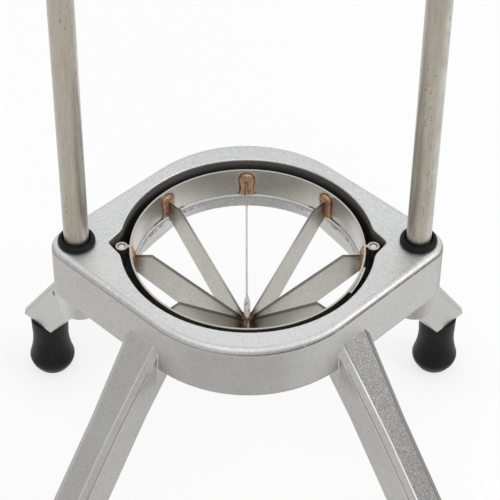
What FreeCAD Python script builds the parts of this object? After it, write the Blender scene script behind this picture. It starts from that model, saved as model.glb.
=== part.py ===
import FreeCAD, Part
import math
import os
import re
import Sketcher
from FreeCAD import Placement, Rotation, Vector

# Hand press that cuts an apple into eight wedges. The origin lies on the floor under the middle of
# the blade cup, +Z is up, the guide rods stand on the X axis and the front is at -Y. Millimetres.

THUMB_FLUTES = 12
BLADES = 8

doc = FreeCAD.newDocument("apple_wedger_press")

SIZES = [
    # base casting
    ("plate_height", 207.8, "floor to the top of the plate"),
    ("wall_depth", 30.0, "height of the plate's side walls"),
    ("rod_margin", 21.7, "edge of the opening to a guide rod's axis"),
    ("corner_radius", 12.7, "outline round each guide rod"),
    ("front_radius", 63.6, "outline at the front and the back"),
    ("rim_radius", 3.6, "rounding of the plate's top outer edge"),
    ("opening_gap", 4.65, "blade cup to the edge of its opening"),
    ("opening_round", 0.9, "rounding of the opening's top edge"),
    ("ledge_drop", 18.9, "plate top to the ledge under the blade cup"),
    ("ledge_lip", 0.45, "how far the ledge shows inside the cup"),
    ("ledge_thick", 8.1, "thickness of the ledge"),
    ("pocket_gap", 6.8, "an eyelet's middle to the sharp tip of its pocket"),
    ("pocket_half_angle", 54.0, "half the angle at the pocket's tip, in degrees"),
    ("pocket_root", 15.0, "tip of an ear pocket to its hidden inner side"),
    ("pocket_round", 3.0, "rounding of the pocket's tip"),
    ("pocket_blend", 9.0, "rounding where a pocket runs into the opening"),
    ("ledge_round", 0.8, "rounding of the ledge's inner edge"),
    ("boss_drop", 44.7, "plate top to the foot of a rod boss"),
    ("boss_radius", 12.4, "rod boss where it leaves the walls"),
    ("boss_foot_radius", 10.6, "rod boss at its foot"),
    ("rod_floor", 8.0, "metal left under each rod"),
    # legs and feet
    ("leg_drop", 15.5, "plate top to the upper edge of a leg's outer face"),
    ("leg_slope", 35.2, "leg's angle from upright, in degrees"),
    ("leg_face", 11.6, "width of a leg's outer face"),
    ("leg_width", 18.8, "leg at its parting line"),
    ("leg_back", 18.2, "width of a leg's inner face"),
    ("leg_parting", 2.8, "outer face to the parting line"),
    ("leg_thick", 19.6, "leg from outer to inner face near the wall"),
    ("leg_end_thick", 21.8, "the same at the leg's end"),
    ("leg_edge_round", 2.0, "rounding along the outer face"),
    ("toe_round", 1.2, "rounding of the inner edge of a leg's end"),
    ("leg_flare", 1.9, "how much a leg widens on each side at its root"),
    ("flare_drop", 44.0, "height over which it widens"),
    ("foot_height", 40.8, "height of a rubber foot"),
    ("foot_setback", 11.5, "inner bottom edge of a leg to the foot's axis"),
    ("foot_top_radius", 10.7, "rubber foot at its top"),
    ("foot_waist_radius", 10.6, "rubber foot at its narrowest"),
    ("foot_waist_height", 21.3, "height of the narrowest place"),
    ("foot_hollow_radius", 11.4, "rubber foot in the hollow of its flare"),
    ("foot_hollow_height", 15.5, "height of that hollow"),
    ("foot_base_radius", 13.0, "rubber foot at its widest"),
    ("foot_flare_height", 10.7, "height of the foot's widest ring"),
    ("foot_side_radius", 11.9, "rubber foot half way down its domed tread"),
    ("foot_side_height", 4.8, "height of that place"),
    ("foot_tread_radius", 8.2, "flat of the tread"),
    ("foot_flare_round", 12.0, "hollow rounding of the flare"),
    ("foot_ring_round", 3.0, "rounding above the widest ring"),
    ("foot_dome_round", 9.0, "rounding of the domed tread"),
    ("foot_tread_round", 1.6, "rounding of the tread's edge"),
    ("stub_radius", 7.5, "stub under a leg that holds the foot"),
    ("stub_length", 24.0, "length of that stub"),
    ("stub_root", 4.0, "how far the stub runs up into the leg"),
    # guide rods with their fixings and bumpers
    ("rod_diameter", 12.7, "guide rod"),
    ("rod_top", 507.8, "floor to the top end of a rod"),
    ("rod_chamfer", 0.8, "chamfer at a rod's ends"),
    ("tapped_depth", 26.0, "depth of the tapped hole in a rod's end"),
    ("bolt_radius", 4.0, "bolts and screws in the rod ends"),
    ("bolt_flats", 13.0, "hexagon of a rod bolt across its flats"),
    ("bolt_head", 5.3, "height of a rod bolt's head"),
    ("bolt_grip", 26.0, "length of a rod bolt under its head"),
    ("bolt_pocket", 7.4, "depth of the pocket under a boss that hides the bolt's head"),
    ("bolt_room", 0.5, "space round the washer in that pocket"),
    ("washer_radius", 8.0, "washer under a rod bolt"),
    ("washer_thick", 1.6, "thickness of that washer"),
    ("bumper_radius", 9.5, "rubber bumper round a rod"),
    ("bumper_height", 3.4, "height of a bumper"),
    ("bumper_round", 1.3, "rounding of a bumper's top edge"),
    ("stop_washer_radius", 11.0, "washer on top of a rod"),
    ("stop_washer_thick", 2.0, "thickness of that washer"),
    ("cap_screw_radius", 7.0, "button head of the top screw"),
    ("cap_screw_head", 4.4, "height of that head"),
    ("cap_screw_round", 2.6, "rounding of that head"),
    ("cap_screw_grip", 18.0, "length of that screw under its head"),
    ("hex_key", 5.0, "hexagon socket across its flats"),
    ("hex_depth", 2.6, "depth of that socket"),
    # blade cup
    ("strip_height", 15.9, "width of the steel strip that the cup is made of"),
    ("ring_radius", 59.35, "outside of the ring"),
    ("ring_thick", 1.0, "thickness of the ring's strip"),
    ("seam_start", -33.0, "lapped strip end, angle from +X in degrees"),
    ("seam_sweep", 19.0, "length of the lap in degrees"),
    ("seam_drop", 1.2, "ring's top edge to the lap's top edge"),
    ("ear_reach", 3.95, "outside of the ring to an eyelet's middle"),
    ("ear_radius", 3.05, "outside of an eyelet"),
    ("ear_bore", 2.0, "inside radius of an eyelet"),
    ("ear_height", 6.0, "height of an eyelet"),
    ("ear_neck", 1.7, "width of an eyelet's neck"),
    ("pin_radius", 1.65, "locating pin in an eyelet"),
    ("pin_below_ear", 0.4, "eyelet's top down to the pin's top"),
    ("blade_thick", 0.9, "thickness of a blade"),
    ("blade_drop", 6.0, "ring's top edge down to a blade's top edge"),
    ("blade_shoulder", 10.35, "level part of a blade's top edge"),
    ("blade_slope", 43.6, "blade's cutting edge from level, in degrees"),
    ("blade_foot", 23.5, "upright depth of a blade at the centre"),
    ("blade_bevel", 1.4, "width of the ground bevel at a blade's cutting edge"),
    ("blade_edge", 0.1, "thickness left at the cutting edge"),
    ("blade_nick", 0.6, "clearance cut at a blade's lower outer corner"),
    ("blade_root", 1.3, "axis to the inner end of a blade"),
    ("column_radius", 1.9, "column of filler that joins the blades"),
    ("spike_radius", 2.1, "centre spike"),
    ("spike_rise", 0.2, "blades' inner corners up to the spike's foot"),
    ("spike_length", 16.4, "whole length of the spike above the blades"),
    ("spike_point", 10.5, "length of the spike's point"),
    ("braze_radius", 3.2, "bead of filler at a blade's outer end"),
    ("braze_rise", 4.0, "bead above a blade's top edge"),
    ("braze_hub", 4.2, "bead of filler round the spike's foot"),
    ("braze_sink", 1.0, "middle of that bead below the blades' dip"),
    # head
    ("head_gap", 0.3, "bushing's top to the rubber stop at rest"),
    ("hub_height", 36.0, "height of a crosshead hub"),
    ("hub_outer", 14.0, "outside radius of a hub"),
    ("beam_height", 21.0, "height of the crosshead's beam"),
    ("beam_width", 20.0, "width of the beam"),
    ("deck_radius", 34.0, "round deck that carries the pusher"),
    ("deck_thick", 9.0, "thickness of the deck"),
    ("casting_round", 3.0, "rounding of the crosshead's edges"),
    ("arm_radius", 7.5, "arm inside a hand grip"),
    ("arm_length", 120.3, "guide rod's axis to the end of an arm"),
    ("bushing_wall", 1.8, "wall of a bushing"),
    ("bushing_length", 14.0, "bushing inside the hub"),
    ("flange_radius", 10.8, "flange of a bushing"),
    ("flange_thick", 2.0, "thickness of that flange"),
    ("running_gap", 0.05, "radial clearance of a sliding or turning fit"),
    ("seat_gap", 0.03, "radial clearance of a fixed fit"),
    ("grip_length", 100.0, "hand grip"),
    ("grip_radius", 14.0, "hand grip at its middle"),
    ("grip_end_radius", 12.6, "hand grip at its ends"),
    ("grip_flange_radius", 17.0, "collar at the grip's inner end"),
    ("grip_flange_thick", 5.0, "thickness of that collar"),
    ("grip_end_thick", 4.0, "grip beyond the arm's end"),
    ("grip_round", 4.0, "rounding of the grip's outer end"),
    ("pusher_gap", 4.15, "pusher block to the inside of the ring"),
    ("pusher_plate", 9.0, "plate of the pusher above its slots"),
    ("slot_width", 3.4, "slot for a blade"),
    ("slot_depth", 29.0, "slot above the pusher's rim"),
    ("spike_well", 5.6, "hole for the spike, radius"),
    ("push_through", 3.0, "pusher's tip below the blades at full stroke"),
    ("thumb_offset", 23.0, "centre to a thumb screw"),
    ("thumb_radius", 8.0, "thumb screw's head"),
    ("thumb_head", 11.0, "height of that head"),
    ("thumb_shank", 3.0, "shank radius of a thumb screw"),
    ("thumb_reach", 7.0, "length of the shank in the pusher block"),
    ("thumb_slack", 0.4, "radial slack of the shank in the deck"),
    ("thumb_room", 1.0, "radial room round the head in the beam"),
    ("thumb_flute", 1.4, "radius of a groove in the head's grip"),
]

PLACES = [
    ("ring_inner", "ring_radius - ring_thick"),
    ("opening_radius", "ring_radius + opening_gap"),
    ("ledge_radius", "ring_inner - ledge_lip"),
    ("ear_centre", "ring_radius + ear_reach"),
    ("pocket_reach", "ear_centre + pocket_gap"),
    ("rod_x", "opening_radius + rod_margin"),
    ("arm_end", "rod_x + arm_length"),
    ("blade_corner", "ring_inner - blade_shoulder"),
    ("pusher_radius", "ring_inner - pusher_gap"),
    ("wall_distance", "rod_x / sqrt(2) + corner_radius"),
    ("plate_corner", "wall_distance * sqrt(2)"),
    ("wall_foot", "plate_height - wall_depth"),
    ("boss_foot", "plate_height - boss_drop"),
    ("bolt_seat", "boss_foot + bolt_pocket"),
    ("rod_foot", "bolt_seat + rod_floor"),
    ("rod_length", "rod_top - rod_foot"),
    ("ledge_top", "plate_height - ledge_drop"),
    ("ledge_foot", "ledge_top - ledge_thick"),
    ("leg_start", "plate_height - leg_drop"),
    ("leg_fall", "leg_start - foot_height"),
    ("leg_lean", "tan(leg_slope)"),
    ("heel_reach", "wall_distance + leg_fall * leg_lean"),
    ("leg_depth", "leg_thick / cos(leg_slope)"),
    ("leg_end_depth", "leg_end_thick / cos(leg_slope)"),
    ("parting_depth", "leg_parting / cos(leg_slope)"),
    ("toe_reach", "heel_reach - leg_end_depth"),
    ("foot_reach", "toe_reach + foot_setback"),
    ("ring_top", "ledge_top + strip_height"),
    ("blade_top", "ring_top - blade_drop"),
    ("blade_dip", "blade_top - blade_corner * tan(blade_slope)"),
    ("blade_low", "blade_dip - blade_foot"),
    ("spike_foot", "blade_dip + spike_radius * tan(blade_slope) + spike_rise"),
    ("pusher_cone", "blade_corner * tan(blade_slope)"),
    ("stop_foot", "rod_top - bumper_height"),
    ("hub_top", "stop_foot - head_gap - flange_thick"),
    ("hub_foot", "hub_top - hub_height"),
    ("stroke", "hub_foot - flange_thick - plate_height - bumper_height - head_gap"),
    ("pusher_tip", "blade_low - push_through + stroke"),
    ("pusher_rim", "pusher_tip + pusher_cone"),
    ("pusher_slot_top", "pusher_rim + slot_depth"),
    ("deck_foot", "pusher_slot_top + pusher_plate"),
    ("bushing_bore", "rod_diameter / 2 + running_gap"),
    ("bushing_outer", "bushing_bore + bushing_wall"),
    ("arm_z", "hub_foot + hub_height / 2"),
]

sizes = doc.addObject("Spreadsheet::Sheet", "sizes")
places = doc.addObject("Spreadsheet::Sheet", "places")
BOOK = {alias: "sizes" for alias, number, note in SIZES}
BOOK.update({alias: "places" for alias, formula in PLACES})


def spell(formula):
    """The formula with each value's name led by the sheet that holds it."""
    def led(word):
        return f"{BOOK[word[0]]}.{word[0]}" if word[0] in BOOK else word[0]

    return re.sub("[a-z][a-z_]*", led, formula)


for row, (alias, number, note) in enumerate(SIZES, start=1):
    sizes.set(f"A{row}", note)
    sizes.set(f"B{row}", str(number))
    sizes.setAlias(f"B{row}", alias)
for row, (alias, formula) in enumerate(PLACES, start=1):
    places.set(f"B{row}", "=" + spell(formula))
    places.setAlias(f"B{row}", alias)
doc.recompute()


def value(alias):
    """The present number behind a name of either sheet."""
    return float(doc.getObject(BOOK[alias]).get(alias))


def bind(item, formulas):
    for prop, formula in formulas.items():
        item.setExpression(prop, spell(formula))
    return item


def part(kind, name, formulas, turn=None):
    """A Part object whose sizes follow the sheets; turn is its fixed rotation."""
    item = doc.addObject("Part::" + kind, name)
    if turn is not None:
        item.Placement = Placement(Vector(), turn)
    return bind(item, formulas)


def at(x="0", y="0", z="0"):
    return {"Placement.Base.x": x, "Placement.Base.y": y, "Placement.Base.z": z}


def cylinder(name, radius, height, x="0", y="0", z="0", turn=None):
    return part("Cylinder", name, {"Radius": radius, "Height": height, **at(x, y, z)}, turn)


def fuse(name, items):
    item = doc.addObject("Part::MultiFuse", name)
    item.Shapes = items
    return item


def cut(name, base, tool):
    item = doc.addObject("Part::Cut", name)
    item.Base = base
    item.Tool = tool
    return item


def group(name, items):
    item = doc.addObject("Part::Compound", name)
    item.Links = items
    return item


def plane_of(body, role):
    return next(item for item in body.Origin.OriginFeatures if item.Role == role)


def outline(body, name, role, corners):
    """A closed sketch of straight lines; every corner is dimensioned from the body's origin."""
    sketch = body.newObject("Sketcher::SketchObject", name)
    sketch.AttachmentSupport = [(plane_of(body, role), "")]
    sketch.MapMode = "FlatFace"
    count = len(corners)
    step = 2 * math.pi / count
    points = [Vector(math.cos(step * index), math.sin(step * index), 0) for index in range(count)]
    for index in range(count):
        sketch.addGeometry(Part.LineSegment(points[index], points[(index + 1) % count]))
    for index in range(count):
        sketch.addConstraint(Sketcher.Constraint("Coincident", index, 2, (index + 1) % count, 1))
    for index, corner in enumerate(corners):
        for kind, formula, start in zip(("DistanceX", "DistanceY"), corner, points[index]):
            number = sketch.addConstraint(Sketcher.Constraint(kind, -1, 1, index, 1, start))
            sketch.setExpression(f"Constraints[{number}]", spell(formula))
    doc.recompute()
    return sketch


def circle(body, name, radius):
    """A sketch of one circle round the body's Z axis."""
    sketch = body.newObject("Sketcher::SketchObject", name)
    sketch.AttachmentSupport = [(plane_of(body, "XY_Plane"), "")]
    sketch.MapMode = "FlatFace"
    sketch.addGeometry(Part.Circle(Vector(), Vector(0, 0, 1), value(radius)))
    sketch.addConstraint(Sketcher.Constraint("Coincident", 0, 3, -1, 1))
    number = sketch.addConstraint(Sketcher.Constraint("Radius", 0, value(radius)))
    sketch.setExpression(f"Constraints[{number}]", spell(radius))
    return sketch


def feature(body, kind, name, sketch, formulas, **settings):
    item = body.newObject("PartDesign::" + kind, name)
    item.Profile = sketch
    for prop, setting in settings.items():
        setattr(item, prop, setting)
    bind(item, formulas)
    sketch.Visibility = False
    doc.recompute()
    return item


def dress(body, kind, name, size, test):
    """Round (Fillet) or bevel (Chamfer) the edges of the body's present shape that pass the test."""
    base = body.Tip
    edges = [f"Edge{number}" for number, edge in enumerate(base.Shape.Edges, start=1) if test(edge)]
    item = body.newObject("PartDesign::" + kind, name)
    item.Base = (base, edges)
    bind(item, {"Radius" if kind == "Fillet" else "Size": size})
    doc.recompute()
    return item


def near(first, second):
    return abs(first - second) < 0.01


def upright(edge):
    return near(edge.BoundBox.XLength, 0) and near(edge.BoundBox.YLength, 0)


def upright_at(**where):
    """A test for upright edges at that place: x or y from an axis, or reach from the body's middle."""
    def test(edge):
        x, y = abs(edge.BoundBox.XMin), abs(edge.BoundBox.YMin)
        place = {"x": x, "y": y, "reach": math.hypot(x, y)}
        return upright(edge) and all(near(place[key], number) for key, number in where.items())
    return test


def ring_at(radius, height):
    """A test for level round edges of that radius at that height."""
    def test(edge):
        curve = edge.Curve
        return (isinstance(curve, Part.Circle) and near(curve.Radius, radius)
                and near(curve.Center.z, height) and near(edge.BoundBox.ZLength, 0))
    return test


def turned(name, corners, place, rounds=(), turn=None):
    """A body turned about its own Z axis from (radius, height) corners, some of them rounded."""
    body = doc.addObject("PartDesign::Body", name)
    if turn is not None:
        body.Placement = Placement(Vector(), turn)
    sketch = outline(body, name + "_outline", "XZ_Plane", corners)
    feature(body, "Revolution", name + "_turned", sketch, {}, ReferenceAxis=(sketch, ["V_Axis"]), Angle=360)
    for corner, radius in rounds:
        point = sketch.Geometry[corner].StartPoint
        dress(body, "Fillet", f"{name}_round_{corner}", radius, ring_at(point.x, point.y))
    return bind(body, place)


def plate():
    """The casting's plate, measured down from its top face."""
    body = doc.addObject("PartDesign::Body", "plate")
    corners = [("plate_corner", "0"), ("0", "plate_corner"), ("-plate_corner", "0"), ("0", "-plate_corner")]
    square = outline(body, "plate_outline", "XY_Plane", corners)
    feature(body, "Pad", "plate_block", square, {"Length": "wall_depth"}, Reversed=True)
    dress(body, "Fillet", "plate_ends", "corner_radius", upright_at(y=0))
    dress(body, "Fillet", "plate_front_and_back", "front_radius", upright_at(x=0))
    dress(body, "Fillet", "plate_rim", "rim_radius", lambda edge: near(edge.BoundBox.ZMin, 0))
    opening = circle(body, "opening_circle", "opening_radius")
    feature(body, "Pocket", "opening", opening, {"Length": "ledge_drop"})
    for side, name in (("", "pocket_right"), ("-", "pocket_left")):
        inner = f"{side}(pocket_reach - pocket_root)"
        half = "pocket_root * tan(pocket_half_angle)"
        tip = outline(body, name + "_outline", "XY_Plane",
                      [(f"{side}pocket_reach", "0"), (inner, half), (inner, "-" + half)])
        feature(body, "Pocket", name, tip, {"Length": "ledge_drop"})
    dress(body, "Fillet", "pocket_tips", "pocket_round", upright_at(x=value("pocket_reach"), y=0))
    dress(body, "Fillet", "pocket_blends", "pocket_blend", upright_at(reach=value("opening_radius")))
    ledge = circle(body, "ledge_circle", "ledge_radius")
    feature(body, "Pocket", "ledge_hole", ledge, {}, Type="ThroughAll")
    top = max(body.Tip.Shape.Faces, key=lambda face: face.BoundBox.ZMin)
    inner = [edge for wire in top.Wires if not wire.isSame(top.OuterWire) for edge in wire.Edges]
    dress(body, "Fillet", "opening_edge", "opening_round",
          lambda edge: any(edge.isSame(rim) for rim in inner))
    dress(body, "Fillet", "ledge_edge", "ledge_round",
          ring_at(value("ledge_radius"), -value("ledge_drop")))
    return bind(body, at(z="plate_height"))


def leg_section(body, name, height, outer, depth, flare="0"):
    """A level cut through a leg: outer face, parting line and inner face, mirrored left and right."""
    corners = [(outer, f"(leg_face / 2 + {flare})"),
               (f"({outer} - parting_depth)", f"(leg_width / 2 + {flare})"),
               (f"({outer} - {depth})", f"(leg_back / 2 + {flare})")]
    mirrored = [(reach, "-" + across) for reach, across in reversed(corners)]
    sketch = outline(body, name, "XY_Plane", corners + mirrored)
    sketch.setExpression("AttachmentOffset.Base.z", spell(height))
    sketch.Visibility = False
    return sketch


def legs():
    """Four splayed legs on the diagonals, with a stub below each for its foot."""
    body = doc.addObject("PartDesign::Body", "leg")
    body.Placement = Placement(Vector(), Rotation(Vector(0, 0, 1), -45))
    mid = "(wall_distance + flare_drop * leg_lean)"
    sections = [
        leg_section(body, "leg_top", "leg_start", "wall_distance", "leg_depth", "leg_flare"),
        leg_section(body, "leg_middle", "leg_start - flare_drop", mid, "leg_depth"),
        leg_section(body, "leg_end", "foot_height", "heel_reach", "leg_end_depth")]
    feature(body, "AdditiveLoft", "leg_beam", sections[0], {}, Sections=sections[1:], Ruled=True)
    face_edges = (value("leg_face") / 2, value("leg_face") / 2 + value("leg_flare"))
    dress(body, "Fillet", "leg_edges", "leg_edge_round",
          lambda edge: edge.BoundBox.ZLength > 0
          and all(any(near(abs(end.Y), half) for half in face_edges) for end in edge.Vertexes))
    dress(body, "Fillet", "leg_toe", "toe_round",
          lambda edge: near(edge.BoundBox.XMax, value("toe_reach")) and near(edge.BoundBox.ZLength, 0))
    stub = cylinder("leg_stub", "stub_radius", "stub_length + stub_root",
                    "foot_reach * cos(45)", "-foot_reach * sin(45)", "foot_height - stub_length")
    front = fuse("leg_front_right", [body, stub])
    left = doc.addObject("Part::Mirroring", "leg_front_left")
    left.Source = front
    left.Normal = Vector(1, 0, 0)
    pair = fuse("legs_front", [front, left])
    back = doc.addObject("Part::Mirroring", "legs_back")
    back.Source = pair
    back.Normal = Vector(0, 1, 0)
    return [pair, back]


def base_casting():
    relief = cylinder("relief", "opening_radius", "wall_depth", z="ledge_foot - wall_depth")
    slab = cut("plate_relieved", plate(), relief)
    opening = cylinder("leg_opening", "opening_radius", "wall_depth", z="ledge_top")
    through = cylinder("leg_through", "ledge_radius", "plate_height")
    trimmed = cut("legs_trimmed", fuse("legs_all", legs()), fuse("leg_cutters", [opening, through]))
    bosses = []
    bores = []
    for side, name in (("", "right"), ("-", "left")):
        bosses.append(part("Cone", "boss_" + name, {
            "Radius1": "boss_foot_radius", "Radius2": "boss_radius", "Height": "wall_foot - boss_foot",
            **at(x=side + "rod_x", z="boss_foot")}))
        bores.append(cylinder("bore_" + name, "rod_diameter / 2 + seat_gap", "plate_height",
                              side + "rod_x", z="rod_foot"))
        bores.append(cylinder("bolt_hole_" + name, "bolt_radius + seat_gap", "rod_floor * 2",
                              side + "rod_x", z="bolt_seat - rod_floor"))
        bores.append(cylinder("bolt_pocket_" + name, "washer_radius + bolt_room", "bolt_pocket",
                              side + "rod_x", z="boss_foot"))
    casting = fuse("casting", [slab, trimmed] + bosses)
    return cut("base_casting", casting, fuse("rod_holes", bores))


def foot(name, x_side, y_side):
    """A rubber tip pushed on a stub, with a domed tread."""
    bore = "stub_radius + seat_gap"
    bore_floor = "foot_height - stub_length - seat_gap"
    corners = [
        ("0", "0"), ("foot_tread_radius", "0"), ("foot_side_radius", "foot_side_height"),
        ("foot_base_radius", "foot_flare_height"), ("foot_hollow_radius", "foot_hollow_height"),
        ("foot_waist_radius", "foot_waist_height"), ("foot_top_radius", "foot_height"),
        (bore, "foot_height"), (bore, bore_floor), ("0", bore_floor)]
    rounds = [(1, "foot_tread_round"), (2, "foot_dome_round"), (3, "foot_ring_round"),
              (4, "foot_flare_round"), (5, "foot_flare_round")]
    place = at(f"{x_side}foot_reach * cos(45)", f"{y_side}foot_reach * sin(45)")
    return turned(name, corners, place, rounds)


def guide_rod(name, side):
    tap = "bolt_radius + seat_gap"
    flat = "rod_diameter / 2 - rod_chamfer"
    corners = [
        ("0", "tapped_depth"), (tap, "tapped_depth"), (tap, "0"), (flat, "0"),
        ("rod_diameter / 2", "rod_chamfer"), ("rod_diameter / 2", "rod_length - rod_chamfer"),
        (flat, "rod_length"), (tap, "rod_length"),
        (tap, "rod_length - tapped_depth"), ("0", "rod_length - tapped_depth")]
    return turned(name, corners, at(side + "rod_x", z="rod_foot"))


def washer(name, radius, thick, side, z):
    disc = cylinder(name + "_disc", radius, thick, side + "rod_x", z=z)
    hole = cylinder(name + "_hole", "bolt_radius + seat_gap", thick, side + "rod_x", z=z)
    return cut(name, disc, hole)


def rod_bolt(name, side):
    head_z = "bolt_seat - washer_thick - bolt_head"
    head = part("Prism", name + "_head", {
        "Circumradius": "bolt_flats / sqrt(3)", "Height": "bolt_head", **at(side + "rod_x", z=head_z)})
    shank = cylinder(name + "_shank", "bolt_radius", "bolt_grip", side + "rod_x",
                     z="bolt_seat - washer_thick")
    return fuse(name, [head, shank])


def cap_screw(name, side):
    under = "rod_top + stop_washer_thick"
    corners = [("0", "-cap_screw_grip"), ("bolt_radius", "-cap_screw_grip"), ("bolt_radius", "0"),
               ("cap_screw_radius", "0"), ("cap_screw_radius", "cap_screw_head"), ("0", "cap_screw_head")]
    screw = turned(name + "_blank", corners, at(side + "rod_x", z=under), [(4, "cap_screw_round")])
    socket = part("Prism", name + "_socket", {
        "Circumradius": "hex_key / sqrt(3)", "Height": "cap_screw_head",
        **at(side + "rod_x", z=under + " + cap_screw_head - hex_depth")})
    return cut(name, screw, socket)


def bumper(name, side, z, upside_down=False):
    bore = "rod_diameter / 2 + seat_gap"
    corners = [(bore, "0"), ("bumper_radius", "0"), ("bumper_radius", "bumper_height"),
               (bore, "bumper_height")]
    turn = Rotation(Vector(1, 0, 0), 180) if upside_down else None
    return turned(name, corners, at(side + "rod_x", z=z), [(2, "bumper_round")], turn)


def cup_ring():
    ring = turned("ring_hoop", [("ring_inner", "0"), ("ring_radius", "0"), ("ring_radius", "strip_height"),
                                ("ring_inner", "strip_height")], at(z="ledge_top"))
    lap = {"Radius": "ring_radius + ring_thick", "Height": "strip_height - seam_drop", "Angle": "seam_sweep",
           "Placement.Rotation.Angle": "seam_start", **at(z="ledge_top")}
    outer = part("Cylinder", "seam_outer", lap, Rotation(Vector(0, 0, 1), value("seam_start")))
    inner = cylinder("seam_inner", "ring_radius - ring_thick / 2", "strip_height", z="ledge_top")
    return fuse("cup_ring", [ring, cut("seam_lap", outer, inner)])


def ear(name, side):
    foot_z = "ring_top - ear_height"
    eyelet = cylinder(name + "_eyelet", "ear_radius", "ear_height", side + "ear_centre", z=foot_z)
    start = "-ear_centre" if side else "ring_radius - ring_thick"
    neck = part("Box", name + "_neck", {
        "Length": "ear_centre - ring_radius + ring_thick", "Width": "ear_neck", "Height": "ear_height",
        **at(start, "-ear_neck / 2", foot_z)})
    hole = cylinder(name + "_hole", "ear_bore", "ear_height", side + "ear_centre", z=foot_z)
    ring = cylinder(name + "_ring", "ring_radius", "ear_height", z=foot_z)
    return cut(name, fuse(name + "_blank", [eyelet, neck]), fuse(name + "_cuts", [hole, ring]))


def blade(name, angle):
    body = doc.addObject("PartDesign::Body", name)
    body.Placement = Placement(Vector(), Rotation(Vector(0, 0, 1), angle))
    side = outline(body, name + "_outline", "XZ_Plane", [
        ("ring_inner", "blade_top"), ("blade_corner", "blade_top"),
        ("blade_root", "blade_dip + blade_root * tan(blade_slope)"), ("blade_root", "blade_low"),
        ("ring_inner - blade_nick", "ledge_top"), ("ring_inner", "ledge_top + blade_nick")])
    feature(body, "Pad", name + "_strip", side, {"Length": "blade_thick"}, SideType="Symmetric")
    corner = (value("blade_corner"), value("blade_top"))
    bevel = dress(body, "Chamfer", name + "_bevel", "(blade_thick - blade_edge) / 2",
                  lambda edge: not upright(edge) and near(edge.BoundBox.YLength, 0)
                  and any(near(end.X, corner[0]) and near(end.Z, corner[1]) for end in edge.Vertexes))
    bevel.ChamferType = "Two distances"
    bind(bevel, {"Size2": "blade_bevel"})
    return body


def braze_joints(blades, spike):
    column = cylinder("braze_column", "column_radius", "spike_foot - blade_low", z="blade_low")
    blob = part("Sphere", "braze_blob", {"Radius": "braze_hub", **at(z="blade_dip - braze_sink")})
    core = fuse("braze_core", [column, blob])
    inside = cylinder("braze_inside", "ring_inner", "plate_height")
    beads = []
    for number in range(BLADES):
        turn = 360 / BLADES * number
        x, y = f"ring_inner * cos({turn:g})", f"ring_inner * sin({turn:g})"
        height = "strip_height - blade_drop + braze_rise - braze_radius"
        rod = cylinder(f"bead_rod_{number}", "braze_radius", height, x, y, "ledge_top")
        cap = part("Sphere", f"bead_cap_{number}",
                   {"Radius": "braze_radius", **at(x, y, "ledge_top + " + height)})
        beads.append(fuse(f"bead_{number}", [rod, cap]))
    rounded = doc.addObject("Part::MultiCommon", "beads_inside")
    rounded.Shapes = [fuse("beads", beads), inside]
    return cut("braze_joints", fuse("filler", [core, rounded]), fuse("braze_cutters", blades + [spike]))


def crosshead():
    solids = []
    holes = []
    beam = part("Box", "beam", {"Length": "rod_x * 2", "Width": "beam_width", "Height": "beam_height",
                                **at("-rod_x", "-beam_width / 2", "hub_foot")})
    deck = cylinder("deck", "deck_radius", "deck_thick", z="deck_foot")
    for side, name, turn in (("", "right", 90), ("-", "left", -90)):
        solids.append(cylinder("hub_" + name, "hub_outer", "hub_height", side + "rod_x", z="hub_foot"))
        solids.append(cylinder("arm_" + name, "arm_radius", "arm_end - rod_x", side + "rod_x", z="arm_z",
                               turn=Rotation(Vector(0, 1, 0), turn)))
        holes.append(cylinder("hub_bore_" + name, "bushing_outer + seat_gap", "hub_height",
                              side + "rod_x", z="hub_foot"))
    for side, name in (("-", "front"), ("", "back")):
        holes.append(cylinder("thumb_hole_" + name, "thumb_shank + thumb_slack", "deck_thick",
                              y=side + "thumb_offset", z="deck_foot"))
        holes.append(cylinder("thumb_seat_" + name, "thumb_radius + thumb_room", "beam_height",
                              y=side + "thumb_offset", z="deck_foot + deck_thick"))
    return cut("crosshead", fuse("head_casting", [beam, deck] + solids), fuse("head_holes", holes))


def bushing(name, side, upper):
    corners = [("bushing_bore", "-flange_thick"), ("flange_radius", "-flange_thick"), ("flange_radius", "0"),
               ("bushing_outer", "0"), ("bushing_outer", "bushing_length"),
               ("bushing_bore", "bushing_length")]
    turn = Rotation(Vector(1, 0, 0), 180) if upper else None
    return turned(name, corners, at(side + "rod_x", z="hub_top" if upper else "hub_foot"), (), turn)


def handle_grip(name, side, turn):
    """Measured from the arm's end inwards, the collar at the inner end."""
    bore = "arm_radius + seat_gap"
    inner = "grip_length - grip_end_thick"
    corners = [
        (bore, "0"), (bore, inner), ("0", inner), ("0", "grip_length"), ("grip_end_radius", "grip_length"),
        ("grip_radius", "grip_length / 2"), ("grip_end_radius", "grip_flange_thick"),
        ("grip_flange_radius", "grip_flange_thick"), ("grip_flange_radius", "0")]
    rounds = [(4, "grip_round"), (6, "grip_round / 2"), (7, "grip_flange_thick / 3"),
              (8, "grip_flange_thick / 3")]
    return turned(name, corners, at(f"{side}(arm_end + grip_end_thick - grip_length)", z="arm_z"), rounds,
                  Rotation(Vector(0, 1, 0), turn))


def push_plate():
    corners = [("0", "pusher_slot_top"), ("pusher_radius", "pusher_slot_top"), ("pusher_radius", "deck_foot"),
               ("0", "deck_foot")]
    plate_blank = turned("push_plate_blank", corners, {}, [(2, "casting_round")])
    threads = [cylinder("thumb_thread_" + name, "thumb_shank + running_gap", "thumb_reach + head_gap",
                        y=side + "thumb_offset", z="deck_foot - thumb_reach - head_gap")
               for side, name in (("-", "front"), ("", "back"))]
    return cut("push_plate", plate_blank, fuse("thumb_threads", threads))


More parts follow.
